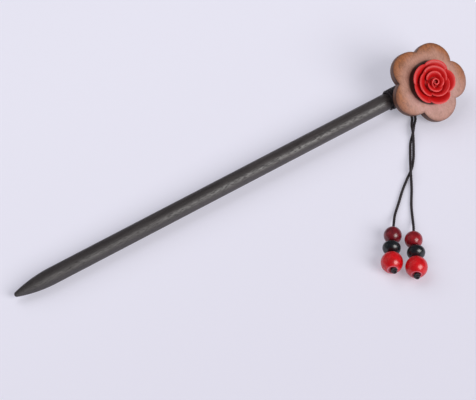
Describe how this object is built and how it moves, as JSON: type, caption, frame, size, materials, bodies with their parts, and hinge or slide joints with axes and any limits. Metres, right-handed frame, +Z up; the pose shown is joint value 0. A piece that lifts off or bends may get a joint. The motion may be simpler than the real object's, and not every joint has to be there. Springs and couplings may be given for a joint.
{
  "type": "hair stick",
  "caption": "Slim pointed wooden hair stick with a lobed wooden flower and a layered red rose at its head, and a tassel of waxed strands with round beads.",
  "frame": {"origin": "middle of the footprint, on the surface that the hair stick lies on", "axes": "+X along the shaft from its point to its head, +Z up from the surface, tassel towards -Y"},
  "size_m": [0.1858, 0.0792, 0.0198],
  "materials": {
    "dark_wood": "satin",
    "pale_wood": "satin",
    "rose_resin": "satin",
    "waxed_cord": "matt",
    "dark_red_bead": "gloss",
    "black_bead": "gloss",
    "bright_red_bead": "gloss"
  },
  "bodies": {
    "root": {"stick": "dark_wood", "binding": "waxed_cord", "flower": "pale_wood", "rose": "rose_resin", "thread_left": "waxed_cord", "thread_right": "waxed_cord", "bead_left_small": "dark_red_bead", "bead_left_black": "black_bead", "bead_left_big": "bright_red_bead", "knot_left": "waxed_cord", "bead_right_small": "dark_red_bead", "bead_right_black": "black_bead", "bead_right_big": "bright_red_bead", "knot_right": "waxed_cord"}
  },
  "joints": []
}
